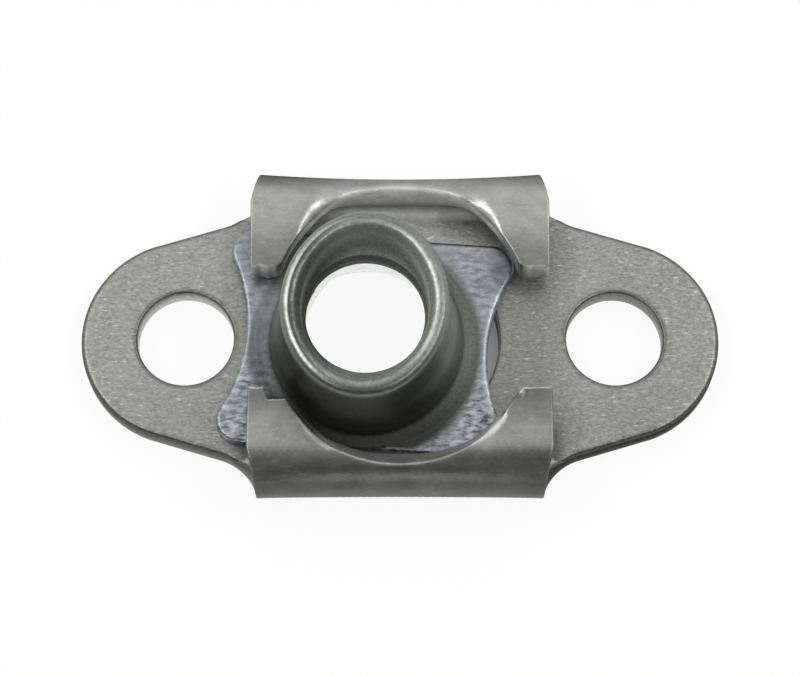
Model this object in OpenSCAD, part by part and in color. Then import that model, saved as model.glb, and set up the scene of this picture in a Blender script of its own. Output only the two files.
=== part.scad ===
// Self-locking floating plate nut: a folded sheet retainer with two riveting ears
// and a captive nut with an oval locking collar. Millimetres, Z up.
// Origin: middle of the plate's underside. X runs through the two rivet holes.

/* [Plate] */
// Distance between the two rivet holes
rivet_pitch = 14.95; // [13:0.05:20]
// Diameter of the rivet holes
rivet_hole_d = 3.36; // [2.4:0.02:4]
// Radius of the rounded ear ends
ear_r = 3.66; // [3.64:0.02:4.4]
// Distance of the straight ear edges from the rivet hole centre
ear_edge_offset = 3.6; // [2.8:0.02:3.64]
// Slope of the straight ear edges in degrees
ear_edge_angle = 16.8; // [10:0.2:22]
// Radius of the inside corner between ear and flange
ear_fillet_r = 1.8; // [0.6:0.1:2]
// Diameter of the clearance hole under the nut
clear_hole_d = 6.9; // [6.2:0.1:7.4]
// Thickness of the retainer sheet
sheet_t = 0.9; // [0.7:0.05:1]

/* [Flanges] */
// Overall width across the two folds
fold_w = 11.65; // [11:0.05:13]
// Outer radius of the folds
fold_r = 1.4; // [1.35:0.05:1.7]
// Length of the flanges over the tabs
tab_len = 10.36; // [10:0.02:11]
// Length of the flanges at the outermost line of the folds
fold_len = 9.8; // [9:0.1:10]
// Distance between the facing tab ends
tab_gap = 4.3; // [3.6:0.1:5.2]
// Offset of that gap from the plate's middle line
tab_shift = -0.12; // [-0.2:0.02:0.2]
// Downward slope of the tabs in degrees
tab_slope = 4.5; // [0:0.5:7]
// How far the lower edge of a sheared tab end stands out past the upper edge
tab_end_lean = 0.18; // [0:0.02:0.24]
// Radius of the round cut-outs in the flanges
notch_r = 4.58; // [4.4:0.02:4.8]
// Offset of each cut-out from the plate's middle line
notch_shift = 0.02; // [-0.1:0.02:0.2]
// Outward lean of the cut-out walls in degrees
notch_lean = 24; // [10:1:30]

/* [Nut flange] */
// Length of the nut flange over the horns
nut_len = 9.9; // [9:0.1:10.2]
// Length of the nut flange at the waist
nut_waist = 8.4; // [8:0.1:8.8]
// Width of the nut flange
nut_w = 7.7; // [7:0.1:7.9]
// Thickness of the nut flange
nut_flange_t = 0.55; // [0.4:0.05:0.6]
// Radius of the hollow ends of the nut flange
waist_r = 5.9; // [5:0.1:8]
// Corner radius of the horns
horn_r = 0.75; // [0.4:0.05:1]

/* [Nut barrel] */
// Height of the nut from its underside to the rim
nut_h = 4.95; // [4.6:0.05:6]
// Radius of the foot of the flared barrel
foot_r = 3.8; // [3.6:0.02:3.84]
// Step from the foot in to the round barrel above it
foot_step = 0.46; // [0.4:0.02:0.6]
// Outside of the locking collar along X
collar_x = 5.64; // [5.4:0.02:5.9]
// Outside of the locking collar along Y
collar_y = 6.48; // [6.2:0.02:6.6]
// Wall thickness of the locking collar
collar_wall = 0.68; // [0.5:0.02:0.74]
// Outer rounding of the rim
rim_r = 0.38; // [0.2:0.02:0.42]
// Diameter of the threaded bore at the thread crests
bore_d = 4.1; // [3.8:0.02:4.2]
// Height of the lower end of the thread above the nut's underside
thread_z = 2.35; // [1.8:0.05:2.6]
// Length of the full thread
thread_len = 1.3; // [1:0.1:1.8]
// Diameter of the conical mouth on the underside
mouth_d = 5.5; // [4.6:0.1:5.8]

/* [Resting place of the nut] */
// Shift of the nut along X
nut_x = -1.16; // [-1.2:0.02:1.2]
// Shift of the nut along Y
nut_y = -0.3; // [-0.3:0.02:0.3]
// Turn of the nut about its axis in degrees
nut_turn = -4; // [-4:0.5:4]

/* [Hidden] */
$fn = 96;
eps = 0.01;
far_out = 40;
half_pitch = rivet_pitch / 2;
fold_y = fold_w / 2 - fold_r;
fold_ri = fold_r - sheet_t;
tab_half = tab_len / 2;
notch_floor = 0.05;
fold_half = fold_len / 2;
tab_reach = (fold_y - fold_r * sin(tab_slope) - tab_gap / 2) / cos(tab_slope);
tab_reach_shift = tab_shift / cos(tab_slope);
edge_y = ear_edge_offset / cos(ear_edge_angle);
edge_m = tan(ear_edge_angle);
edge_foot_x = half_pitch + ear_edge_offset * sin(ear_edge_angle);
root_y = edge_y + edge_m * (half_pitch - tab_half);
fillet_bite = 0.003;
side_angle = atan2(tab_half - fold_half, fold_r);
edge_d = sin(ear_edge_angle) * half_pitch + cos(ear_edge_angle) * edge_y + ear_fillet_r;
side_d = cos(side_angle) * tab_half + sin(side_angle) * fold_y + ear_fillet_r;
corner_k = cos(ear_edge_angle + side_angle);
fillet_x = (side_d * cos(ear_edge_angle) - edge_d * sin(side_angle)) / corner_k;
fillet_y = (edge_d * cos(side_angle) - side_d * sin(ear_edge_angle)) / corner_k;
corner_x1 = fillet_x - ear_fillet_r * sin(ear_edge_angle);
corner_y1 = fillet_y - ear_fillet_r * cos(ear_edge_angle);
corner_x2 = fillet_x - ear_fillet_r * cos(side_angle);
corner_y2 = fillet_y - ear_fillet_r * sin(side_angle);
collar_a = collar_x / 2;
collar_b = collar_y / 2;
end_r = 0.886 * collar_a;
side_r = (collar_a * collar_a + (collar_b - end_r) * (collar_b - end_r) - end_r * end_r)
    / (2 * (collar_a - end_r));
seam_angle = atan2(collar_b - end_r, side_r - collar_a);
inner_rim_r = min(0.24, collar_wall - rim_r);
thread_top = thread_z + thread_len;
sink_h = 0.3;
sink_d = bore_d + 0.8;
core_wall = collar_b - bore_d / 2 + 0.1;
wall_z = nut_flange_t / 2;
flare_in_r = collar_a - 0.1;
barrel_r = foot_r - foot_step;
barrel_in_r = collar_a - 0.2;
barrel_h = nut_h - 2.4 * rim_r - wall_z;
flare_h = 2.05;
flare_r = 1.45;
flare_top = nut_flange_t + flare_h - wall_z;
flare_run = foot_r - flare_in_r;
flare_half = sqrt(flare_run * flare_run + flare_h * flare_h) / 2;
flare_rise = sqrt(flare_r * flare_r - flare_half * flare_half);
flare_cx = (foot_r + flare_in_r) / 2 + flare_rise * flare_h / (2 * flare_half);
flare_cz = nut_flange_t - wall_z + flare_h / 2 + flare_rise * flare_run / (2 * flare_half);

module mirror_y() {
    children();
    mirror([0, 1, 0]) children();
}

module mirror_x() {
    children();
    mirror([1, 0, 0]) children();
}

// Outline of the flat plate with its two ears, without holes
module ear_half_outline() {
    intersection() {
        union() {
            translate([half_pitch, 0]) circle(r = ear_r);
            translate([-eps, -far_out / 2]) square([edge_foot_x + eps, far_out]);
        }
        mirror_y() polygon([
            [-eps, -eps],
            [half_pitch + ear_r + eps, -eps],
            [half_pitch + ear_r + eps, edge_y - edge_m * (ear_r + eps)],
            [tab_half - eps, root_y],
            [-eps, root_y]
        ]);
    }
    // Rounded inside corners between the ear edges and the flange
    mirror_y() difference() {
        polygon([
            [tab_half - 1, root_y - 1],
            [corner_x1, corner_y1 - 1],
            [corner_x1, corner_y1],
            [fillet_x, fillet_y],
            [corner_x2, corner_y2],
            [corner_x2 - 1, corner_y2]
        ]);
        translate([fillet_x, fillet_y]) circle(r = ear_fillet_r + fillet_bite);
    }
}

// Outline of the strip that is folded into the two flanges
module strip_outline() {
    mirror_x() mirror_y() polygon([
        [-eps, -eps],
        [tab_half, -eps],
        [tab_half, fold_y],
        [fold_half, fold_w / 2],
        [fold_half, fold_w / 2 + 1],
        [-eps, fold_w / 2 + 1]
    ]);
}

// Section of the sheet across the plate: flat floor and the two folds up to mid height
module floor_section() {
    translate([-fold_y, 0]) square([2 * fold_y, sheet_t]);
    mirror_x() intersection() {
        fold_ring();
        translate([fold_y, 0]) square([fold_r + 1, fold_r]);
    }
}

module fold_ring() {
    translate([fold_y, fold_r]) difference() {
        circle(r = fold_r);
        circle(r = fold_ri);
    }
}

// Section of the upper half of one fold with its tab
module tab_section(tab_run) {
    intersection() {
        fold_ring();
        translate([fold_y, fold_r]) polygon([
            [0, 0],
            [far_out, 0],
            [far_out, far_out],
            [-far_out * tan(tab_slope), far_out]
        ]);
    }
    translate([fold_y, fold_r]) rotate(tab_slope) polygon([
        [0, fold_ri],
        [0, fold_r],
        [-tab_run, fold_r],
        [-tab_run - tab_end_lean, fold_ri]
    ]);
}

// Sweeps a section drawn in Y and Z along X
module along_x(len) {
    translate([-len / 2, 0, 0]) rotate([90, 0, 90]) linear_extrude(height = len) children();
}

module flange_top(tab_run) {
    difference() {
        intersection() {
            along_x(tab_len + 1) tab_section(tab_run);
            linear_extrude(height = 2 * fold_r + 1) strip_outline();
        }
        // Round cut-out, square to the sheet where it runs into the fold
        intersection() {
            translate([0, notch_shift, 2 * fold_r]) rotate([-notch_lean, 0, 0])
                translate([0, 0, -far_out / 2]) cylinder(r = notch_r, h = far_out);
            translate([-far_out / 2, 0, fold_r + notch_floor]) cube([far_out, far_out, far_out]);
        }
    }
}

module retainer() {
    color([0.55, 0.55, 0.52]) {
        difference() {
            intersection() {
                along_x(rivet_pitch + 2 * ear_r + 1) floor_section();
                linear_extrude(height = 2 * fold_r) {
                    mirror_x() ear_half_outline();
                    strip_outline();
                }
            }
            translate([0, 0, -1]) cylinder(d = clear_hole_d, h = sheet_t + 2);
            mirror_x() translate([half_pitch, 0, -1]) cylinder(d = rivet_hole_d, h = sheet_t + 2);
        }
        flange_top(tab_reach - tab_reach_shift);
        mirror([0, 1, 0]) flange_top(tab_reach + tab_reach_shift);
    }
}

// Bow-tie outline of the nut flange with rounded horns
module nut_outline() {
    difference() {
        union() {
            square([nut_len, nut_w - 2 * horn_r], center = true);
            square([nut_len - 2 * horn_r, nut_w], center = true);
            mirror_x() mirror_y() translate([nut_len / 2 - horn_r, nut_w / 2 - horn_r]) circle(r = horn_r);
        }
        mirror_x() translate([nut_waist / 2 + waist_r, 0]) circle(r = waist_r);
    }
}

// Section of the collar wall with its rounded rim, for an arc of the given outside radius
module wall_section(outer) {
    translate([outer - collar_wall, wall_z]) square([collar_wall, nut_h - rim_r - wall_z]);
    translate([outer - rim_r, nut_h - rim_r]) intersection() {
        circle(r = rim_r);
        square([rim_r, rim_r]);
    }
    translate([outer - collar_wall + inner_rim_r, nut_h - rim_r - eps])
        square([collar_wall - rim_r - inner_rim_r + eps, rim_r + eps]);
    translate([outer - collar_wall, nut_h - rim_r - eps])
        square([collar_wall - rim_r, rim_r - inner_rim_r + eps]);
    translate([outer - collar_wall + inner_rim_r, nut_h - inner_rim_r]) intersection() {
        circle(r = inner_rim_r);
        translate([-inner_rim_r, 0]) square([inner_rim_r, inner_rim_r]);
    }
    // Thicker wall where the thread runs
    translate([outer - core_wall, wall_z]) square([core_wall, thread_top + sink_h - wall_z]);
}

// Oval collar: two flatter sides and two tighter ends that meet without a kink
module collar() {
    mirror_x() translate([collar_a - side_r, 0, 0]) rotate([0, 0, -seam_angle])
        rotate_extrude(angle = 2 * seam_angle) wall_section(side_r);
    mirror_y() translate([0, collar_b - end_r, 0]) rotate([0, 0, seam_angle])
        rotate_extrude(angle = 180 - 2 * seam_angle) wall_section(end_r);
}

// Flared foot of the barrel with a hollow curve
module flare() {
    intersection() {
        rotate_extrude() difference() {
            square([foot_r, flare_top]);
            translate([flare_cx, flare_cz]) circle(r = flare_r);
        }
        translate([-foot_r - 1, -nut_w / 2, 0]) cube([2 * foot_r + 2, nut_w, nut_h]);
    }
}

// Round barrel that is drawn in until it runs into the oval collar
module barrel() {
    rotate_extrude() polygon([
        [barrel_in_r, 0],
        [barrel_r, 0],
        [flare_in_r, barrel_h],
        [barrel_in_r, barrel_h]
    ]);
}

module floating_nut() {
    color([0.5, 0.5, 0.5])
        translate([nut_x, nut_y, sheet_t]) rotate([0, 0, nut_turn]) difference() {
            union() {
                linear_extrude(height = nut_flange_t) nut_outline();
                translate([0, 0, wall_z]) flare();
                translate([0, 0, wall_z]) barrel();
                collar();
            }
            translate([0, 0, -1]) cylinder(d = bore_d, h = nut_h + 2);
            translate([0, 0, thread_top]) cylinder(d1 = bore_d, d2 = sink_d, h = sink_h);
            translate([0, 0, -eps]) cylinder(d1 = mouth_d, d2 = bore_d, h = thread_z + eps);
        }
}

retainer();
floating_nut();
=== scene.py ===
"""Self-locking floating plate nut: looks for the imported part, in metres in the part's own frame."""

import math

import bpy
import numpy as np
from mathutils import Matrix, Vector
from mathutils.geometry import delaunay_2d_cdt


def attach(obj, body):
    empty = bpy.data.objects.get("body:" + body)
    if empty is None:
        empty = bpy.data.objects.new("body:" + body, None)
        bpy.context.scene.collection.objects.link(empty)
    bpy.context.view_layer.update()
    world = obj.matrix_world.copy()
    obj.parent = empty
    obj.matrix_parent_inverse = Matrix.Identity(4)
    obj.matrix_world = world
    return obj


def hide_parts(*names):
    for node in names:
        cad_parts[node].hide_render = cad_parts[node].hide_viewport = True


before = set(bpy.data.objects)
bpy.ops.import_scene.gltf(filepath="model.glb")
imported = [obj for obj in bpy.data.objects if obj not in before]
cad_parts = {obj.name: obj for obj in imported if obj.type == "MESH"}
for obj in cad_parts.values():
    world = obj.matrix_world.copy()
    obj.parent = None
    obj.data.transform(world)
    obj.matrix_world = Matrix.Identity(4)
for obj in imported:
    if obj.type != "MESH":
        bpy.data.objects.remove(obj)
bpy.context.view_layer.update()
MM = 0.001
rad = math.radians

# ---- retainer, in millimetres, as in the CAD source but for its ears
PITCH = 14.95                           # between the rivet holes
HOLE_R = 1.68                           # rivet holes
CLEAR_R = 3.45                          # hole under the nut
EAR_R = 3.64                            # 3.66 in the CAD source
EDGE_OFF = 3.635                        # rivet hole to the straight edges of its ear, 3.6 in the CAD source
EDGE_ANG = rad(16.8)                    # of those edges
FILLET_R = 1.8                          # where they meet the folds
SHEET = 0.9
FOLD_W, FOLD_R = 11.65, 1.4             # width over both folds, their outer radius
TAB_HALF, FOLD_HALF = 5.18, 4.9         # half length of a fold at its top and at its outermost line
TAB_GAP, TAB_SHIFT = 4.3, -0.12         # between facing tab ends, and how far off the middle
SLOPE = rad(4.5)                        # of the tabs, down towards the nut
NOTCH_R, NOTCH_SHIFT = 4.58, 0.02       # round punch of the cut-outs
LEAN = rad(24)                          # of that punch
TAB_END_LEAN = 0.18                     # sheared tab ends
FOLD_Y = FOLD_W / 2 - FOLD_R
MID_R = FOLD_R - SHEET / 2
FOLD_RUN = MID_R * (math.pi / 2 + SLOPE + math.pi / 2)
TAB_V = FOLD_Y + FOLD_RUN
TAB_RUN = (FOLD_Y - FOLD_R * math.sin(SLOPE) - TAB_GAP / 2) / math.cos(SLOPE)
FAR_RUN = TAB_RUN - TAB_SHIFT / math.cos(SLOPE)
NEAR_RUN = TAB_RUN + TAB_SHIFT / math.cos(SLOPE)

# finer forms of the retainer, in the scene alone
TAB_CORNER = 0.16                       # outer corners of the tabs
SAG = 0.17                              # of the folds at their middle
ROLL_IN, ROLL_OUT = 0.1, 0.05           # rolled edges of the inner and outer face
EAR_ROLL, HOLLOW_ROLL = 0.1, 0.15       # added to them round the ears and in the far cut-out
BEVEL_W, BEVEL_SOFT = 0.44, 0.05        # pressed lips of the cut-outs
DENT, DENT_R, DENT_DEPTH = (4.3, -2.55), 0.15, 0.07

# mesh of the retainer
EDGE_STEP = 0.055                       # along the outline
RING, LIP = 0.2, 0.28                   # width of the rows beside an edge, and more of it along a lip
RING_SHARES = (0.0, 0.05, 0.2, 0.42, 0.7, 1.0)
GRID_GAP = 0.07                         # between those rows and the grid
GRID_U, GRID_STEP = 11.2, 0.24

# ---- floating nut, in millimetres, as in the CAD source
NUT_LEN, NUT_WAIST, NUT_W, NUT_T = 9.9, 8.4, 7.7, 0.55
WAIST_R, HORN_R = 5.9, 0.75
NUT_H, FOOT_R, FOOT_STEP = 4.95, 3.8, 0.46
COLLAR_X, COLLAR_Y, WALL, RIM_R = 5.64, 6.48, 0.68, 0.38
BORE_R, THREAD_Z, THREAD_LEN, MOUTH_R = 2.05, 2.35, 1.3, 2.75
THREAD_TOP = THREAD_Z + THREAD_LEN
NUT_X, NUT_Y, NUT_TURN = -1.16, -0.3, rad(-4)
CA, CB = COLLAR_X / 2, COLLAR_Y / 2
END_R = 0.886 * CA                      # end arcs of the oval collar, then its side arcs
SIDE_R = (CA ** 2 + (CB - END_R) ** 2 - END_R ** 2) / (2 * (CA - END_R))
FLARE_IN, FLARE_H, FLARE_R = CA - 0.1, 2.05, 1.45

# finer forms of the nut, in the scene alone
THREAD_PITCH, GROOVE = 0.794, 0.04
BOWL_H = 0.7                            # of the rounded ledge over the thread
RIM_OUT = RIM_R - 0.09                  # the two roundings of the rim
RIM_IN = WALL - RIM_OUT
FOOT_SOFT = 0.12                        # where the flare runs out on the flange
FLANGE_ROLL, UNDER_ROLL = 0.14, 0.06    # upper and lower edge of the flange
FLANGE_IN = 0.16                        # where its flat faces end

# mesh of the nut
RAYS = 360
TH = np.arange(RAYS) * 2 * math.pi / RAYS
DX, DY = np.cos(TH), np.sin(TH)


def smooth(x, lo, hi):
    """Smooth step from 0 at lo to 1 at hi."""
    t = np.clip((np.asarray(x, float) - lo) / (hi - lo), 0, 1)
    return t * t * (3 - 2 * t)


def bump(x, mid, half):
    """Bell of height 1 at mid."""
    return np.exp(-(((np.asarray(x, float) - mid) / half) ** 2))


def soft_max(p, q, k):
    return 0.5 * (p + q + np.sqrt((p - q) ** 2 + k))


# ---- runs of points in the plane
def arc(cx, cy, r, a0, a1, n=60):
    t = np.linspace(a0, a1, n)
    return np.c_[cx + r * np.cos(t), cy + r * np.sin(t)]


def circle(x, r, n):
    t = np.arange(n) * -2 * math.pi / n
    return np.c_[x + r * np.cos(t), r * np.sin(t)]


def length_of(p):
    return np.r_[0, np.cumsum(np.hypot(*np.diff(p, axis=0).T))]


def along(p, s, t):
    """Points of a run at the lengths t, where s is the length at each of its own points."""
    return np.c_[np.interp(t, s, p[:, 0]), np.interp(t, s, p[:, 1])]


def resample(p, step):
    s = length_of(p)
    n = max(2, int(round(s[-1] / step)) + 1)
    return along(p, s, np.linspace(0, s[-1], n))


def trim(p, start, end):
    s = length_of(p)
    kept = s[(s > start + 1e-6) & (s < s[-1] - end - 1e-6)]
    return along(p, s, np.r_[start, kept, s[-1] - end])


def round_join(p, q, cut):
    """Joins two runs that meet in a corner by a short rounded corner."""
    p, q = trim(p, 0, cut), trim(q, cut, 0)
    corner = p[-1] + (p[-1] - p[-2]) / np.linalg.norm(p[-1] - p[-2]) * cut
    t = np.linspace(0, 1, 9)[1:-1, None]
    mid = (1 - t) ** 2 * p[-1] + 2 * t * (1 - t) * corner + t ** 2 * q[0]
    return np.r_[p, mid, q]


def normals_in(p):
    d = np.roll(p, -1, 0) - np.roll(p, 1, 0)
    d /= np.linalg.norm(d, axis=1)[:, None]
    return np.c_[-d[:, 1], d[:, 0]]


# ---- retainer: flat pattern of the sheet, with u along the folds and v across them
def fold_turn(v):
    """Angle round the fold at v: -90 degrees on the plate, a little over 90 on a tab."""
    return -math.pi / 2 + np.clip(np.abs(v) - FOLD_Y, 0, FOLD_RUN) / MID_R


def tab_end(v):
    return TAB_V + np.where(v > 0, FAR_RUN, NEAR_RUN)


def section(v, w):
    """Where the bent sheet has its point v at depth w (0 outside, 1 inside): y, z and the angle."""
    a = np.abs(v)
    rho = FOLD_R - w * SHEET
    phi = fold_turn(v)
    past = np.maximum(a - TAB_V, 0)
    flat = a < FOLD_Y
    y = np.where(flat, a, FOLD_Y + rho * np.cos(phi) - past * math.cos(SLOPE))
    z = np.where(flat, w * SHEET, FOLD_R + rho * np.sin(phi) - past * math.sin(SLOPE))
    return np.sign(v) * y, z, phi


def ear_and_side(v_end):
    """Edge of one quarter from the ear tip to the tab's outer corner, and how much of it is the ear."""
    hx = PITCH / 2
    ca, sa = math.cos(EDGE_ANG), math.sin(EDGE_ANG)
    side = math.atan2(TAB_HALF - FOLD_HALF, FOLD_R)
    # centre of the fillet between the ear's straight edge and the end of the fold
    from_edge = sa * hx + EDGE_OFF + FILLET_R
    from_side = math.cos(side) * TAB_HALF + math.sin(side) * FOLD_Y + FILLET_R
    k = math.cos(EDGE_ANG + side)
    fx = (from_side * ca - from_edge * math.sin(side)) / k
    fy = (from_edge * math.cos(side) - from_side * sa) / k
    meet = math.pi / 2 - EDGE_ANG - math.acos(EDGE_OFF / EAR_R)
    ear = arc(hx, 0, EAR_R, 0, meet, 90)
    fillet_start = np.array([fx - FILLET_R * sa, fy - FILLET_R * ca])
    fillet = arc(fx, fy, FILLET_R, math.atan2(-ca, -sa), -math.pi + side, 40)
    low = np.linspace(fillet[-1], (FOLD_HALF, FOLD_W / 2), 30)
    plan = np.r_[ear, [fillet_start], fillet[1:], low[1:]]
    # from plan to flat pattern, first below and then above the outermost line of the fold
    y = plan[:, 1]
    ang = -np.arccos(np.clip((y - FOLD_Y) / FOLD_R, 0, 1))
    lower = np.c_[plan[:, 0], np.where(y < FOLD_Y, y, FOLD_Y + MID_R * (ang + math.pi / 2))]
    ph = np.linspace(0, math.pi / 2, 30)[1:]
    up_x = FOLD_HALF + (TAB_HALF - FOLD_HALF) * (1 - np.cos(ph))
    upper = np.c_[up_x, FOLD_Y + MID_R * (ph + math.pi / 2)]
    return np.r_[lower, upper, [[TAB_HALF, v_end]]], len(ear) + len(fillet)


def quadrant(tab_run, wave, chip, corner):
    """Edge of one quarter of the flat pattern, from the ear tip to the bottom of the cut-out, and its
    named runs. chip is how deep the tab corner beside the cut-out is broken away, and how wide."""
    v_end = TAB_V + tab_run
    run_up, foot = ear_and_side(v_end)
    # cut-out: where the leaning punch meets the outside of the sheet
    vs = np.linspace(FOLD_Y + MID_R * math.pi / 2, v_end + 0.2, 4000)
    ys, zs, _ = section(vs, 0.0)
    punch = (ys - NOTCH_SHIFT) * math.cos(LEAN) - (zs - 2 * FOLD_R) * math.sin(LEAN)
    punch_end = np.interp(v_end - chip[0], vs, punch)
    t = np.linspace(math.acos(punch_end / NOTCH_R), 0, 160)
    cut = np.c_[NOTCH_R * np.sin(t), np.interp(-NOTCH_R * np.cos(t), -punch, vs)]
    end_x = np.linspace(TAB_HALF, cut[0, 0], 60)
    from_cut = end_x - cut[0, 0]
    end_v = v_end + wave(end_x) * smooth(TAB_HALF - end_x, 0, 0.2) * smooth(from_cut, 0, 0.2)
    end_v = end_v - chip[0] * (1 - smooth(from_cut, chip[1], chip[1] + 0.14))
    end = np.c_[end_x, end_v]
    named = {"ear": run_up[:foot], "side": run_up[foot - 1:], "end": end, "cut": cut}
    return round_join(round_join(run_up, end, TAB_CORNER), cut, corner), named


def tab_wave(seed, amp):
    """Uneven edge of a sheared tab end."""
    a, b, c = np.random.default_rng(seed).uniform(0, 6.28, 3)
    return lambda x: -amp * (1 + 0.6 * np.sin(9 * x + a) + 0.5 * np.sin(17 * x + b)
                             + 0.3 * np.sin(29 * x + c)) / 1.4


QUARTERS = (  # signs of u and v, run of the tab, seed and size of its wave, chip, corner beside the cut-out
    ((1, 1), FAR_RUN, 1, 0.022, (0.0, 0.0), 0.24),
    ((-1, 1), FAR_RUN, 2, 0.035, (0.0, 0.0), 0.24),
    ((-1, -1), NEAR_RUN, 3, 0.025, (0.42, 0.65), 0.1),
    ((1, -1), NEAR_RUN, 4, 0.02, (0.2, 0.1), 0.3),
)
quarters, runs = [], {}
for sign, tab_run, seed, amp, chip, corner in QUARTERS:
    edge, named = quadrant(tab_run, tab_wave(seed, amp), chip, corner)
    quarters.append(edge * sign)
    for name, part in named.items():
        runs.setdefault(name, []).append(part * sign)
# every second quarter runs backwards, so that they join into one loop
outline = np.concatenate([q[::-1][:-1] if i % 2 else q[:-1] for i, q in enumerate(quarters)])
outline = resample(np.r_[outline, outline[:1]], EDGE_STEP)[:-1]
loops = [outline, circle(0, CLEAR_R, 300), circle(PITCH / 2, HOLE_R, 180), circle(-PITCH / 2, HOLE_R, 180)]


def edge_distance(p, lines=None):
    """Distance of each point from the nearest cut edge of the flat pattern, or from some runs of it."""
    best = np.full(len(p), 1e9)
    for loop in lines or loops:
        a, b = (loop[:-1], loop[1:]) if lines else (loop, np.roll(loop, -1, 0))
        ab = b - a
        l2 = (ab ** 2).sum(1)
        for i in range(0, len(p), 1500):
            c = p[i:i + 1500, None, :]
            t = np.clip(((c - a) * ab).sum(2) / l2, 0, 1)
            d = np.linalg.norm(c - a - t[..., None] * ab, axis=2).min(1)
            best[i:i + 1500] = np.minimum(best[i:i + 1500], d)
    return best


def distance_by_run(uv, dist):
    """Distance of each point from each named run of the edge; what lies far from all edges gets 9."""
    u, v = uv.T
    by = {}
    close = dist < 0.5
    for name, lines in runs.items():
        by[name] = np.full(len(uv), 9.0)
        by[name][close] = edge_distance(uv[close], lines)
    by["hole"] = np.minimum(*[np.abs(np.hypot(u - x, v) - HOLE_R) for x in (-PITCH / 2, PITCH / 2)])
    by["clear"] = np.abs(np.hypot(u, v) - CLEAR_R)
    return by


def inside(p):
    """Whether each point lies within the outline and outside the holes."""
    odd = np.zeros(len(p), bool)
    for loop in loops:
        a, b = loop, np.roll(loop, -1, 0)
        rise = np.where(b[:, 1] == a[:, 1], 1e-12, b[:, 1] - a[:, 1])
        for i in range(0, len(p), 3000):
            x, y = p[i:i + 3000, 0:1], p[i:i + 3000, 1:2]
            crossed = (a[:, 1] > y) != (b[:, 1] > y)
            xs = a[:, 0] + (y - a[:, 1]) / rise * (b[:, 0] - a[:, 0])
            odd[i:i + 3000] ^= (crossed & (x < xs)).sum(1) % 2 == 1
    return odd


def shoulder_of(u, v):
    """Where the cut-out runs over the shoulder of the fold, its lip is pressed down as a bevel."""
    mid = np.where(v > 0, 2.82, np.where(u > 0, 3.25, 2.95))
    half = np.where(v > 0, 0.6, 0.7)
    over = smooth(fold_turn(v), rad(60), rad(80))
    return bump(np.abs(u), mid, half) * over * (1 - smooth(np.abs(v) - TAB_V, 0.8, 1.4))


def hollow_of(u, v):
    """Bottom of the far cut-out, with a widely rounded edge."""
    return (1 - smooth(np.abs(u), 2.6, 3.4)) * (v > FOLD_Y + 1)


def row_width(p):
    """Width of the mesh rows that follow an edge."""
    return RING + LIP * np.maximum(shoulder_of(*p.T), hollow_of(*p.T))


def flat_mesh():
    """Points and triangles of the flat pattern: rows along every edge, then a grid, finest on the folds."""
    pts, edges = [], []
    for loop in loops:
        n_in, width, m = normals_in(loop), row_width(loop), len(loop)
        for share in RING_SHARES:
            base = len(pts)
            pts.extend((loop + n_in * (width * share)[:, None]).tolist())
            edges.extend((base + i, base + (i + 1) % m) for i in range(m))
    plate = np.arange(0.12, FOLD_Y, 0.26)
    fold = np.arange(FOLD_Y, TAB_V + 0.05, 0.085)
    tab = np.arange(TAB_V + 0.12, TAB_V + max(FAR_RUN, NEAR_RUN), 0.16)
    rows = np.r_[plate, fold, tab]
    grid = []
    for i, v in enumerate(np.r_[-rows[::-1], rows]):
        us = np.arange(-GRID_U, GRID_U, GRID_STEP) + (GRID_STEP / 2 if i % 2 else 0.0)
        grid.append(np.c_[us, np.full(len(us), v)])
    grid = np.concatenate(grid)
    grid = grid[inside(grid)]
    pts.extend(grid[edge_distance(grid) > row_width(grid) + GRID_GAP].tolist())
    out = delaunay_2d_cdt([Vector(p) for p in pts], edges, [], 0, 1e-7)
    uv = np.array([tuple(p) for p in out[0]])
    tris = np.array([f for f in out[2] if len(f) == 3])
    tris = tris[inside(uv[tris].mean(1))]
    used = np.unique(tris)
    remap = np.full(len(uv), -1)
    remap[used] = np.arange(len(used))
    uv, tris = uv[used], remap[tris]
    area = np.cross(uv[tris[:, 1]] - uv[tris[:, 0]], uv[tris[:, 2]] - uv[tris[:, 0]])
    tris[area < 0] = tris[area < 0][:, ::-1]
    return uv, tris


# ---- looks of the retainer: tone darkens or lightens the steel, mostly as painted shade and light, edge brightens it as rubbed wear and painted highlight, dull roughens it
# painted shade and light of the outside of both folds: darker low on the folds, lighter towards the top
FAR_FOLD_SHADING = ((20, 30, 50, 72, 86, 94), (0.24, 0.3, 0.58, 0.92, 1.06, 1.04))  # by degrees round the fold
NEAR_FOLD_SHADING = ((0, 18, 30, 38, 47, 57, 66, 75, 84, 90, 95),
             (0.42, 0.32, 0.28, 0.36, 0.6, 0.48, 0.35, 0.36, 0.5, 0.78, 0.98))
# painted shade: a darker line beside the ear and rivet hole edges
EDGE_SHADE = {"ear": 0.6, "hole": 0.5}       # darker line on the upper face beside these edges


def outer_tone(u, v, deg):
    """Outside of the folds, with painted shade and light by angle round each fold and painted shade towards
    the tab ends, and the underside of the plate.
    """
    far = np.interp(deg, *FAR_FOLD_SHADING)
    # painted shade: the lower far fold darker towards its sides, more on the left, and the upper near fold
    # darker on the right
    ends = 0.26 * smooth(-u, 1, 3.5) + 0.12 * smooth(u, 1, 3.5)
    far = far * (1 - (1 - smooth(deg, 55, 75)) * ends)
    near = np.interp(deg, *NEAR_FOLD_SHADING)
    near = near - 0.16 * smooth(u, 0, 4) * smooth(deg, 55, 85)
    # painted shade: the tabs darker towards their ends
    tab_end_shade = np.where(v > 0, 0.46, 0.38) * smooth(np.abs(v), TAB_V + 0.2, tab_end(v))
    return np.where(np.abs(v) > FOLD_Y, np.where(v > 0, far, near) - tab_end_shade, 1.0)


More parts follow.
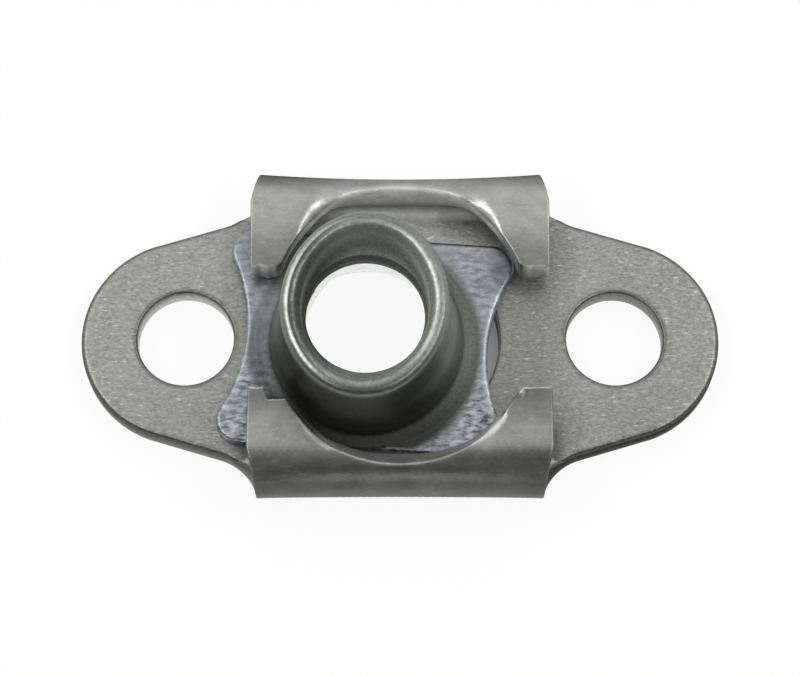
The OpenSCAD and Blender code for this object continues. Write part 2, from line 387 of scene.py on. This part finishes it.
def inner_tone(u, v):
    """Upper face of the plate, and the inside of the folds. Painted shade darkens the plate towards the
    right, the front and the middle, and beside the near tabs; painted light lightens it at the foot of the
    folds in the cut-outs, and the inside of the folds.
    """
    au, av = np.abs(u), np.abs(v)
    # painted shade: darker towards the right, the front and the middle
    tone = 0.91 - 0.05 * smooth(u, 4, 9) - 0.08 * smooth(-v, 0.5, 3) - 0.2 * (1 - smooth(au, 4.8, 6.6))
    # painted shadow beside the near tabs, and painted light at the foot of the folds in the cut-outs
    tab_shadow = 0.45 * smooth(-v, 2.7, 3.5) * smooth(5.9 - au, 0, 0.6) * smooth(au, 4.3, 4.8)
    cutout_light = smooth(av, 2.6, 3.6) * (1 - smooth(au, 3.6, 4.4))
    tone = tone * (1 - tab_shadow) + (0.65 - 0.28 * (v > 0) * smooth(u, -0.5, 0.8)) * cutout_light
    # inside of the folds painted lighter
    return np.where(av > FOLD_Y, 1.35, tone)


def retainer_looks(u, v, by, deg, is_outer):
    """Looks of one face of the sheet, up to the middle of its cut edges."""
    near = v < 0
    fold = np.where(np.abs(v) > FOLD_Y, 1.0, 0.0)
    shoulder, hollow = shoulder_of(u, v), hollow_of(u, v)

    def beside(name, width):
        return np.exp(-(by[name] / width) ** 2)

    tone = outer_tone(u, v, deg) if is_outer else inner_tone(u, v)
    # painted shade and light of the cut walls: the ear walls darker towards the right, the left rivet hole
    # and the left of the hole under the nut lighter
    darker = 0.56 + 0.44 * smooth(-u, -2, 2)
    clear_wall_light = 0.32 + 1.9 * smooth(-u, 0.8, 1.6)
    walls = {"ear": (0.31 * darker, 0.48 * darker), "hole": (0.42, 0.58 + 0.7 * (u < 0)),
             "clear": (clear_wall_light, clear_wall_light), "side": (0.35, 0.4)}
    for name, wall_tone in walls.items():
        # painted shade on the upper face beside the ear and hole edges
        if name in EDGE_SHADE and not is_outer:
            tone = tone * (1 - EDGE_SHADE[name] * (1 - smooth(by[name], 0.06, 0.22)))
        k = 1 - smooth(by[name], 0.0, 0.03)
        tone = tone * (1 - k) + wall_tone[is_outer] * k
    # sheared faces: far cut-out, near cut-out, tab ends, dull and painted lighter
    cut_face = hollow * beside("cut", 0.08 if is_outer else 0.05)
    near_face = 0.7 * near * (1 - smooth(np.abs(u), 2.5, 3.5)) * beside("cut", 0.06)
    end_face = 0.8 * beside("end", 0.04)
    for face, face_tone in ((cut_face, 1.95 if is_outer else 1.6), (near_face, 1.1), (end_face, 1.2)):
        tone = tone * (1 - face) + face_tone * face
    dull = np.maximum.reduce([cut_face, near_face, end_face])
    if is_outer:
        dull = np.maximum(dull, np.where(u > 0, 0.95, 0.3) * shoulder * near * beside("cut", 0.22))
        # outer edges: painted highlight in bright strokes along the lips over the shoulders, and rubbed
        # bright along the cut-outs and tab ends
        from_lip = by["cut"] / (0.05 + np.where(v > 0, 0.27, 0.17) * shoulder)
        lip = np.exp(-from_lip ** np.where(v > 0, 2, 4)) * (0.4 - 0.2 * hollow + 0.8 * shoulder)
        edge = np.maximum.reduce([lip, 0.75 * beside("end", 0.05), 0.06 * beside("side", 0.05)])
    else:
        dull = np.maximum(dull, 0.7 * fold)
        # inner cut edges rubbed bright, with a painted highlight over the far shoulders
        edge = (0.25 + 0.4 * shoulder * (v > 0)) * beside("cut", 0.05)
    return {"edge": edge, "tone": tone, "calm": fold, "dull": dull}


def build_mesh(name, verts, faces, attrs):
    me = bpy.data.meshes.new(name)
    me.from_pydata((np.asarray(verts) * MM).tolist(), [], faces)
    for key, val in attrs.items():
        at = me.attributes.new(key, "FLOAT", "POINT")
        at.data.foreach_set("value", np.asarray(val, np.float32))
    me.polygons.foreach_set("use_smooth", np.ones(len(me.polygons), bool))
    me.update()
    ob = bpy.data.objects.new(name, me)
    bpy.context.scene.collection.objects.link(ob)
    wn = ob.modifiers.new("even_normals", "WEIGHTED_NORMAL")
    wn.keep_sharp = False
    return ob


def make_retainer():
    uv, tris = flat_mesh()
    n = len(uv)
    u, v = uv[:, 0], uv[:, 1]
    av = np.abs(v)
    dist = edge_distance(uv)
    by = distance_by_run(uv, dist)
    shoulder, hollow = shoulder_of(u, v), hollow_of(u, v)

    def roll(r):
        return r - np.sqrt(np.maximum(r ** 2 - np.maximum(r - dist, 0) ** 2, 0))

    # punched edges: softly rolled in on the inner face, smaller radius on the outer face,
    # and a wide pressed lip where the cut-out runs over the shoulder of the fold
    steep = np.where(v > 0, 0.45, np.where(u > 0, 0.25, 0.04))
    bevel = steep * BEVEL_SOFT * np.logaddexp(0, (BEVEL_W * shoulder - dist) / BEVEL_SOFT)
    bevel = bevel * smooth(shoulder, 0.05, 0.4)
    w_in = 1 - roll(ROLL_IN + EAR_ROLL * (by["ear"] < 0.4) + HOLLOW_ROLL * hollow) / SHEET
    w_out = (roll(ROLL_OUT + HOLLOW_ROLL * hollow) + bevel) / SHEET
    # sheared tab ends and the near cut-out, through which the punch leans: the lower edge stands out
    v_end = tab_end(v)
    near_end = smooth(av, v_end - 0.55, v_end - 0.1)
    lean = (0.32 + 0.08 * smooth(fold_turn(v), rad(62), rad(88))) * (v < 0)
    lean = lean * (1 - smooth(by["cut"], 0, 0.6)) * (1 - smooth(av, v_end - 1, v_end - 0.5))
    verts, looks = [], []
    for is_outer, w in ((False, w_in), (True, w_out)):
        slip = TAB_END_LEAN * w * near_end + (0.0 if is_outer else lean)
        y, z, phi = section(v + np.sign(v) * slip, w)
        # the cut-out weakens the fold, so it sinks in a little at the middle
        sag = SAG * np.clip(1 - (u / FOLD_HALF) ** 2, 0, 1) * smooth(phi, rad(-35), rad(15))
        sag = np.where(av > FOLD_Y, sag * (1 - 0.75 * smooth(phi, rad(25), rad(66))), 0)
        verts.append(np.c_[u, y - np.sign(v) * sag * np.cos(phi), z - sag * np.sin(phi)])
        looks.append(retainer_looks(u, v, by, np.degrees(phi), is_outer))
    verts = np.concatenate(verts)
    # slight dent in the near right tab end
    from_dent = np.hypot(verts[:, 0] - DENT[0], verts[:, 1] - DENT[1])
    verts[:, 2] -= DENT_DEPTH * bump(from_dent, 0, DENT_R) * (verts[:, 2] > 1.2)
    # two faces of the sheet, then the cut edges between them
    faces = tris.tolist() + (tris[:, ::-1] + n).tolist()
    sides = {e: True for a, b, c in tris.tolist() for e in ((a, b), (b, c), (c, a))}
    rim = [e for e in sides if (e[1], e[0]) not in sides]
    faces += [(b, a, a + n, b + n) for a, b in rim]
    attrs = {key: np.concatenate([face[key] for face in looks]) for key in looks[0]}
    return build_mesh("retainer_sheet", verts, faces, attrs)


# ---- floating nut: one closed sweep round the axis, every row a ring of points
# painted shading of the inside of the nut: darker on its left wall, a little lighter on its right
INSIDE_SHADE = 1 - 0.52 * smooth(-DX, 0.2, 0.9) + 0.2 * smooth(DX, 0.1, 0.8)    # inside, darker on its left wall
SHADE = smooth(np.cos(TH - rad(-103)), -0.32, 0.7)                      # dark front of the barrel
RIM_HIGHLIGHT = (0.58 + 0.5 * smooth(-DX, 0.1, 0.9) + 0.12 * smooth(DX, 0.3, 0.9)
         - 0.12 * smooth(-DY, 0.5, 1))                                  # painted highlight lines round the rim, brightest on the left, dimmer at the front


def ray(cx, cy, r):
    """How far the rays from the axis run inside a circle."""
    dc = DX * cx + DY * cy
    return dc + np.sqrt(dc ** 2 - cx ** 2 - cy ** 2 + r ** 2)


def oval(off):
    """Collar outline, moved out by off: two flat side arcs and two end arcs."""
    seam = math.atan2(CB - END_R, SIDE_R - CA)
    sx = np.where(DX >= 0, 1, -1) * (CA - SIDE_R)
    t = ray(sx, 0, SIDE_R + off)
    on_side = np.abs(np.arctan2(t * DY, np.abs(t * DX - sx))) <= seam
    return np.where(on_side, t, ray(0, np.where(DY >= 0, 1, -1) * (CB - END_R), END_R + off))


def bow_tie():
    """Outline of the flange, with its corners softened."""
    wx, hx, hy = NUT_WAIST / 2 + WAIST_R, NUT_LEN / 2, NUT_W / 2
    tip = math.sqrt(WAIST_R ** 2 - (wx - hx) ** 2)
    a = np.linspace(0, math.atan2(tip, wx - hx), 40)
    waist = np.c_[wx - WAIST_R * np.cos(a), WAIST_R * np.sin(a)]
    horn = arc(hx - HORN_R, hy - HORN_R, HORN_R, 0, math.pi / 2, 40)
    x, y = resample(np.r_[waist, horn, [[0, hy]]], 0.01).T
    r = np.interp(np.linspace(0, math.pi / 2, 721), np.arctan2(y, x), np.hypot(x, y))
    whole = np.r_[r, r[::-1][1:], r[1:], r[::-1][1:-1]]
    kern = np.exp(-np.linspace(-2, 2, 17) ** 2)
    whole = np.convolve(np.r_[whole[-8:], whole, whole[:8]], kern / kern.sum(), "valid")
    flange_r = np.interp(TH, np.arange(len(whole)) * 2 * math.pi / len(whole), whole)
    return np.c_[flange_r * DX, flange_r * DY]


def flare_centre():
    """Centre of the hollow flare's arc, which runs from the barrel's radius to the foot circle."""
    run = FOOT_R - FLARE_IN
    half = math.hypot(run, FLARE_H) / 2
    rise = math.sqrt(FLARE_R ** 2 - half ** 2)
    x = (FOOT_R + FLARE_IN) / 2 + rise * FLARE_H / (2 * half)
    return x, NUT_T + FLARE_H / 2 + rise * run / (2 * half)


def bore(z):
    """Radius of the mouth cone, its lead-in and the thread's crests."""
    return np.interp(z, (0, THREAD_Z, THREAD_Z + 0.62, THREAD_TOP - 0.25, THREAD_TOP),
                     (MOUTH_R, BORE_R + 0.2, BORE_R - 0.05, BORE_R - 0.05, BORE_R + 0.03))


class Sweep:
    """Rings of the nut and their looks, from the mouth up the inside, over the rim and down outside."""

    def __init__(self):
        self.rows = []
        self.looks = {"tone": [], "edge": [], "plated": [], "dull": [], "pitted": []}

    def ring_xy(self, xy, z, tone=1.0, edge=0.0, plated=1.0, dull=0.0):
        self.rows.append(np.c_[xy, np.broadcast_to(z, RAYS)])
        pitted = 0.25 + 0.75 * smooth(-xy[:, 1], 0.2, 2.4)
        for key, val in zip(self.looks, (tone, edge, plated, dull, pitted)):
            self.looks[key].append(np.broadcast_to(val, RAYS))

    def ring(self, r, z, tone=1.0, edge=0.0, plated=0.0, dull=0.0):
        self.ring_xy(np.c_[r * DX, r * DY], z, tone, edge, plated, dull)


def add_bore(s):
    """Mouth cone and threaded length, the cone painted light and the thread painted in shade."""
    for z in np.linspace(0.06, THREAD_Z - 0.02, 14):
        s.ring(bore(z), z, 2.6, plated=0.5)
    for z in np.linspace(THREAD_Z, THREAD_TOP, 46):
        turn = (z / THREAD_PITCH - TH / (2 * math.pi)) % 1.0
        groove = np.clip(1.25 * (1 - np.abs(2 * turn - 1)) - 0.2, 0, 0.9)
        start = smooth(z, THREAD_Z + 0.3, THREAD_Z + 0.7)
        fade = start * (1 - smooth(z, THREAD_TOP - 0.3, THREAD_TOP - 0.1))
        s.ring(bore(z) + GROOVE * groove * fade, z, 0.2 + 0.27 * INSIDE_SHADE, dull=0.75)


def add_collar(s):
    """Bowl of the collar, a ledge over the thread that turns up into the inner wall, then the rolled rim.
    The inside is painted in shade, lighter up the bowl, and the rim carries painted highlight lines and
    painted shade at its front.
    """
    wall, core = oval(-WALL), bore(THREAD_TOP)
    for a in np.linspace(4, 90, 16):
        r = core + (wall - core) * math.sin(rad(a))
        z = THREAD_TOP + BOWL_H * (1 - math.cos(rad(a)))
        s.ring(r, z, (0.8 + 0.4 * smooth(a, 30, 80)) * INSIDE_SHADE, dull=0.8)
    wall_z = THREAD_TOP + BOWL_H
    for t in (0.3, 0.65, 1.0):
        s.ring(wall, wall_z + (NUT_H - RIM_IN - THREAD_TOP - BOWL_H) * t, 1.2 * INSIDE_SHADE, dull=0.8)
    outward = smooth(-DX, 0.1, 0.8)     # on the left the bright line lies further out
    for a in np.linspace(0, 90, 10)[1:]:
        r = oval(-WALL + RIM_IN * (1 - math.cos(rad(a))))
        z = NUT_H - RIM_IN + RIM_IN * math.sin(rad(a))
        # painted highlight line along the crest
        line = (1 - 0.7 * outward) * RIM_HIGHLIGHT * bump(a, 74, 16)
        s.ring(r, z, (1.15 - 0.5 * math.sin(rad(a))) * INSIDE_SHADE, line, dull=0.8 * (1 - smooth(a, 50, 80)))
    for a in np.linspace(0, 90, 12)[1:]:
        r = oval(-RIM_OUT + RIM_OUT * math.sin(rad(a)))
        z = NUT_H - RIM_OUT + RIM_OUT * math.cos(rad(a))
        line = (0.75 + 0.35 * outward) * RIM_HIGHLIGHT * bump(a, 12 * outward, 14 + 10 * outward)
        # outer rounding darker at the front as painted shade, with painted highlight lines
        s.ring(r, z, 0.68 - 0.24 * smooth(-DY, 0, 0.9), line + 0.16 * bump(a, 78, 12))


def add_barrel(s, flare_x, flare_z, slope):
    """Outside of the barrel: oval collar above, round barrel below, hollow flare at its foot. Painted shade
    darkens its front and the flare towards the foot.
    """
    outer = oval(0)
    barrel_z = NUT_H - 2.4 * RIM_R
    taper = (FOOT_R - FOOT_STEP - 0.05 - FLARE_IN) / (barrel_z - NUT_T / 2)
    upper = np.linspace(NUT_H - RIM_R - 0.1, NUT_T + 1.6, 20)
    lower = NUT_T + 1.5 * (np.linspace(1, 0, 40) ** 1.8)
    for z in np.r_[upper, lower]:
        above = z - flare_z
        flare = flare_x - math.sqrt(FLARE_R ** 2 - min(above, 0) ** 2) - 0.6 * max(above, 0) ** 2
        r = soft_max(outer, FLARE_IN + taper * (barrel_z - z), 0.02)
        r = soft_max(r, flare, 0.14 * (1 - smooth(z, 2.2, 3.8)) * smooth(z, NUT_T, NUT_T + 0.5))
        # the flare eases into the flange
        gap = FOOT_R - r
        ease = FOOT_SOFT * np.logaddexp(0, gap / FOOT_SOFT) - np.maximum(gap, 0)
        on_foot = smooth(r, 3.1, 3.6)
        skirt = 0.16 * (1 - smooth(z, 0.9, 2.8)) * (1 - on_foot)
        # painted shade: dark front of the barrel, graded down the flare, lighter on the left of the foot
        lit, dark = 0.78 - skirt - 0.3 * on_foot, 0.26 + 0.3 * skirt - 0.1 * on_foot
        tone = lit * (1 - SHADE) + dark * SHADE + 0.2 * smooth(-DX, 0.5, 0.95) * on_foot
        tone = tone * (1 + 0.3 * bump(r, 3.2, 0.2))
        s.ring(r, z + slope * ease * smooth(r, FOOT_R - 0.6, FOOT_R - 0.1), tone,
               plated=0.6 * on_foot * smooth(-DX, 0.2, 0.8), dull=0.6 * smooth(r, 2.95, 3.35))


def add_flange(s, slope):
    """Upper face of the flange from the foot circle out, its edge, and its underside back to the mouth.
    Painted shade darkens the front of the foot and the far right horn; the edges are rubbed bright, more on
    the right as painted highlight.
    """
    edge = bow_tie()
    out = -normals_in(edge)
    flat_end = edge - out * FLANGE_IN
    # edges rubbed bright, with a painted highlight added on the right
    rub_and_sheen = 0.4 * smooth(DX, 0.2, 0.9)

    def shaded(q):
        """The far right horn lies in the shade of its tab."""
        return smooth(q[:, 0], 3.8, 4.6) * smooth(q[:, 1], 1.8, 2.8)

    start = np.c_[FOOT_R * DX, FOOT_R * DY]
    for t in (0.08, 0.17, 0.28, 0.4, 0.55, 0.7, 0.85, 1.0):
        xy = start + (flat_end - start) * t
        gap = FOOT_R - np.hypot(xy[:, 0], xy[:, 1])
        plated = smooth(-gap - 0.22 * SHADE, 0.02, 0.3)
        # painted shade at the front of the foot, lighter on the left
        foot_tone = 0.4 - 0.22 * SHADE + 0.24 * smooth(-DX, 0.5, 0.95)
        s.ring_xy(xy, NUT_T + slope * FOOT_SOFT * np.logaddexp(0, gap / FOOT_SOFT),
                  foot_tone * (1 - plated) + 0.92 * (1 - 0.4 * shaded(xy)) * plated,
                  (0.1 + rub_and_sheen) * (1 - shaded(xy)) * t ** 3,
                  np.maximum(plated, 0.6 * smooth(-DX, 0.2, 0.8)))
    for a in (22, 45, 68, 90):
        s.ring_xy(edge - out * FLANGE_ROLL * (1 - math.sin(rad(a))),
                  NUT_T - FLANGE_ROLL * (1 - math.cos(rad(a))),
                  0.8 * (1 - 0.4 * shaded(edge)), 0.1 + rub_and_sheen * (1 - shaded(edge)))
    for a in (0, 45, 90):
        s.ring_xy(edge - out * UNDER_ROLL * (1 - math.cos(rad(a))),
                  UNDER_ROLL - UNDER_ROLL * math.sin(rad(a)), 0.6, 0.1)
    mouth = np.c_[(MOUTH_R + 0.05) * DX, (MOUTH_R + 0.05) * DY]
    for t in (0.0, 0.33, 0.66, 1.0):
        s.ring_xy(flat_end + (mouth - flat_end) * t, 0.0, 0.9)


def make_nut():
    flare_x, flare_z = flare_centre()
    slope = (flare_x - FOOT_R) / (flare_z - NUT_T)      # of the flare where it meets the flange
    s = Sweep()
    add_bore(s)
    add_collar(s)
    add_barrel(s, flare_x, flare_z, slope)
    add_flange(s, slope)
    x, y, z = np.concatenate(s.rows).T
    c, d = math.cos(NUT_TURN), math.sin(NUT_TURN)
    verts = np.c_[x * c - y * d + NUT_X, x * d + y * c + NUT_Y, z + SHEET]
    faces = []
    for i in range(len(s.rows)):
        a, b = i * RAYS, (i + 1) % len(s.rows) * RAYS
        for k in range(RAYS):
            k1 = (k + 1) % RAYS
            faces.append((a + k, b + k, b + k1, a + k1))
    return build_mesh("nut_turned", verts, faces, {key: np.concatenate(val) for key, val in s.looks.items()})


# ---- materials
class Mat:
    """A node material, with short calls for the nodes that it is made of."""

    def __init__(self, name):
        self.m = bpy.data.materials.new(name)
        self.m.use_nodes = True
        self.t = self.m.node_tree
        self.t.nodes.clear()
        self.out = self.add("ShaderNodeOutputMaterial")

    def add(self, kind, **props):
        n = self.t.nodes.new(kind)
        for k, v in props.items():
            setattr(n, k, v)
        return n

    def put(self, sock, val):
        if hasattr(val, "is_output"):
            self.t.links.new(val, sock)
        else:
            sock.default_value = val

    def math(self, op, a, b=0.0, clamp=False):
        n = self.add("ShaderNodeMath", operation=op, use_clamp=clamp)
        self.put(n.inputs[0], a)
        self.put(n.inputs[1], b)
        return n.outputs[0]

    def mix(self, fac, a, b, kind="MIX"):
        n = self.add("ShaderNodeMix", data_type="RGBA", blend_type=kind)
        self.put(n.inputs[0], fac)
        self.put(n.inputs[6], a)
        self.put(n.inputs[7], b)
        return n.outputs[2]

    def attr(self, name):
        return self.add("ShaderNodeAttribute", attribute_name=name).outputs["Fac"]

    def noise(self, scale, stretch=(1, 1, 1), detail=3.0, rough=0.55, distort=0.0, turn=0.0):
        """Noise with its scale per millimetre."""
        co = self.add("ShaderNodeTexCoord").outputs["Object"]
        mp = self.add("ShaderNodeMapping")
        mp.inputs["Scale"].default_value = tuple(1000 * s for s in stretch)
        mp.inputs["Rotation"].default_value = (0, 0, turn)
        self.put(mp.inputs["Vector"], co)
        n = self.add("ShaderNodeTexNoise")
        self.put(n.inputs["Vector"], mp.outputs[0])
        n.inputs["Scale"].default_value = scale
        n.inputs["Detail"].default_value = detail
        n.inputs["Roughness"].default_value = rough
        n.inputs["Distortion"].default_value = distort
        return n.outputs["Fac"]

    def span(self, val, lo, hi, a=0.0, b=1.0):
        """Maps lo..hi to a..b, and no further."""
        n = self.add("ShaderNodeMapRange", clamp=True)
        self.put(n.inputs[0], val)
        for i, x in enumerate((lo, hi, a, b)):
            n.inputs[1 + i].default_value = x
        return n.outputs[0]

    def bump(self, height, dist, strength=1.0, normal=None):
        n = self.add("ShaderNodeBump")
        n.inputs["Strength"].default_value = strength
        n.inputs["Distance"].default_value = dist
        self.put(n.inputs["Height"], height)
        if normal is not None:
            self.put(n.inputs["Normal"], normal)
        return n.outputs[0]

    def steel(self, color, rough, normal):
        b = self.add("ShaderNodeBsdfPrincipled")
        self.put(b.inputs["Base Color"], color)
        self.put(b.inputs["Roughness"], rough)
        self.put(b.inputs["Normal"], normal)
        b.inputs["Metallic"].default_value = 1.0
        # places darkened by the tone, mostly painted shade, stay dark at a grazing view too
        self.put(b.inputs["Specular Tint"], self.span(self.attr("tone"), 0.0, 0.6, 0.02, 1.0))
        self.put(self.out.inputs[0], b.outputs[0])


def grey(v, tint):
    return (v * tint[0], v * tint[1], v * tint[2], 1)


def retainer_material():
    m = Mat("retainer_brushed_steel")
    grain = m.noise(14.0, (0.5, 1, 1), 3, 0.65)
    dash = m.noise(9.0, (0.34, 1, 1), 2, 0.5)
    spots = m.noise(2.2, (0.7, 1, 1), 3, 0.6, 0.4)
    cloud = m.noise(0.5, (1, 1, 1), 2, 0.5)
    warm = (0.99, 1.0, 0.945)
    # plate: grained, with fine bright dashes
    base = m.mix(m.span(grain, 0.3, 0.7), grey(0.225, (1, 1, 0.97)), grey(0.575, (0.98, 1.0, 0.93)))
    base = m.mix(m.span(spots, 0.35, 0.7, 0.0, 0.4), base, grey(0.36, (1, 1, 0.97)))
    base = m.mix(m.span(cloud, 0.3, 0.7, 0.0, 0.25), base, grey(0.46, (1.0, 0.99, 0.93)))
    base = m.mix(m.span(dash, 0.62, 0.72, 0.0, 0.7), base, grey(0.8, (1.0, 1.0, 0.96)))
    # folds: smoother
    satin = m.span(m.noise(1.3, (0.8, 1, 1), 3, 0.6), 0.3, 0.7)
    satin = m.mix(satin, grey(0.33, warm), grey(0.49, warm))
    base = m.mix(m.math("MULTIPLY", m.attr("calm"), 0.72), base, satin)
    # painted shade and light carried by the tone attribute
    base = m.mix(1.0, base, m.attr("tone"), "MULTIPLY")
    # edges rubbed bright, and painted highlights, from the edge attribute
    rub_and_highlight = m.span(m.noise(2.4, (1, 1, 1), 2), 0.35, 0.6, 0.55, 1.0)
    rub_and_highlight = m.math("MULTIPLY", m.attr("edge"), rub_and_highlight)
    base = m.mix(m.span(rub_and_highlight, 0.1, 0.8, 0.0, 0.95), base, grey(0.95, (1, 0.99, 0.96)))
    rough = m.math("SUBTRACT", m.span(spots, 0.2, 0.8, 0.32, 0.48), m.math("MULTIPLY", rub_and_highlight, 0.12))
    rough = m.math("MAXIMUM", rough, m.math("MULTIPLY", m.attr("dull"), 0.85))
    nrm = m.bump(m.noise(1.1, (0.8, 1, 1), 2), 0.00006, 0.5)
    nrm = m.bump(spots, 0.00002, 0.4, nrm)
    nrm = m.bump(grain, 0.000012, 0.6, nrm)
    m.steel(base, rough, nrm)
    return m.m


def nut_material():
    m = Mat("nut_plated_steel")
    fine = m.noise(11.0, (1, 1, 1), 3, 0.6)
    spots = m.noise(3.0, (1, 1, 1), 3, 0.6)
    olive = (0.95, 1.0, 0.88)
    barrel = m.mix(m.span(fine, 0.3, 0.7), grey(0.27, olive), grey(0.44, olive))
    barrel = m.mix(m.span(spots, 0.35, 0.7, 0.0, 0.4), barrel, grey(0.34, (1, 1, 0.93)))
    # plated flange: bluish, pitted towards the front, rubbed bright on its high spots
    pits = m.noise(5.5, (0.45, 1.0, 1), 4, 0.65, 0.2, rad(8))
    sheen = m.noise(1.1, (1, 1, 1), 2, 0.5)
    flange = m.mix(m.span(pits, 0.38, 0.62), grey(0.13, (0.93, 0.98, 1.04)), grey(0.66, (0.94, 0.99, 1.07)))
    even = m.mix(m.span(pits, 0.35, 0.7), grey(0.3, (0.92, 0.97, 1.07)), grey(0.52, (0.93, 0.98, 1.07)))
    flange = m.mix(m.attr("pitted"), even, flange)
    flange = m.mix(m.span(sheen, 0.45, 0.65, 0.0, 0.5), flange, grey(0.36, (0.91, 0.97, 1.06)))
    base = m.mix(m.attr("plated"), barrel, flange)
    # painted shade and light carried by the tone attribute
    base = m.mix(1.0, base, m.attr("tone"), "MULTIPLY")
    # edges rubbed bright, and painted highlights, from the edge attribute
    rub_and_highlight = m.span(m.noise(0.9, (1, 1, 1), 3, 0.6), 0.35, 0.65, 0.5, 1.0)
    rub_and_highlight = m.math("MULTIPLY", m.attr("edge"), rub_and_highlight)
    rub_and_highlight = m.math("MULTIPLY", rub_and_highlight, m.span(m.noise(7.0, (1, 1, 1), 2, 0.5), 0.4, 0.6, 0.75, 1.08))
    base = m.mix(m.span(rub_and_highlight, 0.15, 0.7, 0.0, 0.75), base, grey(0.72, (0.97, 1.0, 0.98)))
    rough = m.math("MAXIMUM", m.span(spots, 0.2, 0.8, 0.3, 0.46), m.attr("dull"))
    nrm = m.bump(pits, 0.00003, 0.35)
    nrm = m.bump(fine, 0.00001, 0.4, nrm)
    m.steel(base, rough, nrm)
    return m.m


def floor_material():
    """White to the camera and in reflections, with a pale shadow."""
    white_share, hidden_share = 0.92, 0.1
    m = Mat("floor_white")
    lp = m.add("ShaderNodeLightPath").outputs
    seen = m.math("ADD", lp["Is Camera Ray"], lp["Is Glossy Ray"], clamp=True)
    seen = m.math("ADD", seen, lp["Is Transmission Ray"], clamp=True)
    d = m.add("ShaderNodeBsdfDiffuse")
    d.inputs["Color"].default_value = (0.92, 0.92, 0.92, 1)
    e = m.add("ShaderNodeEmission")
    e.inputs["Color"].default_value = (1, 1, 1, 1)
    e.inputs["Strength"].default_value = 1.0
    mx = m.add("ShaderNodeMixShader")
    # the floor right under the nut, seen past its waist, keeps its full shadow
    co = m.add("ShaderNodeSeparateXYZ")
    m.put(co.inputs[0], m.add("ShaderNodeTexCoord").outputs["Object"])
    x, y = co.outputs[0], co.outputs[1]
    lit = m.span(x, 0.0016, 0.0022, white_share, hidden_share)
    lit = m.math("MAXIMUM", lit, m.span(x, 0.0045, 0.0050, 0.0, white_share))
    lit = m.math("MAXIMUM", lit, m.span(m.math("ABSOLUTE", y), 0.0038, 0.0044, 0.0, white_share))
    m.put(mx.inputs[0], m.math("MULTIPLY", seen, lit))
    m.put(mx.inputs[1], d.outputs[0])
    m.put(mx.inputs[2], e.outputs[0])
    m.put(m.out.inputs[0], mx.outputs[0])
    return m.m


retainer = make_retainer()
retainer.data.materials.append(retainer_material())
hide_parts("retainer")
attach(retainer, "retainer")

nut = make_nut()
nut.data.materials.append(nut_material())
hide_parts("floating_nut")
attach(nut, "nut")

# ---- stage, light and camera, in metres
FLOOR_HALF, FLOOR_Z = 2, -2e-5
CORNERS = ((-1, -1), (1, -1), (1, 1), (-1, 1))
me = bpy.data.meshes.new("floor")
me.from_pydata([(FLOOR_HALF * x, FLOOR_HALF * y, FLOOR_Z) for x, y in CORNERS], [], [(0, 1, 2, 3)])
floor = bpy.data.objects.new("floor", me)
bpy.context.scene.collection.objects.link(floor)
me.materials.append(floor_material())

# soft room light: bright behind the part, dim on the camera's side
ROOM_DIM, ROOM_BRIGHT = (0.16, 0.16, 0.165, 1), (0.95, 0.95, 0.95, 1)
world = bpy.data.worlds.new("studio")
bpy.context.scene.world = world
world.use_nodes = True
wt = world.node_tree
bg = wt.nodes["Background"]
way = wt.nodes.new("ShaderNodeSeparateXYZ")
wt.links.new(wt.nodes.new("ShaderNodeTexCoord").outputs["Generated"], way.inputs[0])
ramp = wt.nodes.new("ShaderNodeMapRange")
ramp.interpolation_type = "SMOOTHSTEP"
wt.links.new(way.outputs[1], ramp.inputs[0])
ramp.inputs[1].default_value, ramp.inputs[2].default_value = -0.8, 0.65
tint = wt.nodes.new("ShaderNodeMix")
tint.data_type = "RGBA"
wt.links.new(ramp.outputs[0], tint.inputs[0])
tint.inputs[6].default_value = ROOM_DIM
tint.inputs[7].default_value = ROOM_BRIGHT
wt.links.new(tint.outputs[2], bg.inputs["Color"])
bg.inputs["Strength"].default_value = 1.0


def lamp(name, place, size, radiance):
    d = bpy.data.lights.new(name, "AREA")
    d.shape = "RECTANGLE"
    d.size, d.size_y = size
    d.energy = radiance * math.pi * size[0] * size[1]
    o = bpy.data.objects.new(name, d)
    o.location = place
    o.rotation_euler = (Vector((0, 0, 0.001)) - Vector(place)).to_track_quat("-Z", "Y").to_euler()
    bpy.context.scene.collection.objects.link(o)


lamp("strip_left", (-0.2, -0.04, 0.3), (0.42, 0.06), 5.0)
lamp("strip_right", (0.2, -0.04, 0.3), (0.42, 0.06), 5.0)

# camera as fitted to the photograph: focal length in pixels of a frame 800 wide
FOCAL, FRAME_W, SENSOR = 2598.6, 800, 36.0
TILT, AWAY, AIM_Y = rad(18), 0.0915, 0.00033
cam_data = bpy.data.cameras.new("camera")
cam = bpy.data.objects.new("camera", cam_data)
cam_data.sensor_width = SENSOR
cam_data.lens = FOCAL / FRAME_W * SENSOR
cam_data.clip_start = 0.002
cam.location = (0, AIM_Y - AWAY * math.sin(TILT), AWAY * math.cos(TILT))
cam.rotation_euler = (TILT, 0, 0)
bpy.context.scene.collection.objects.link(cam)
bpy.context.scene.camera = cam
bpy.context.scene.view_settings.view_transform = "Standard"
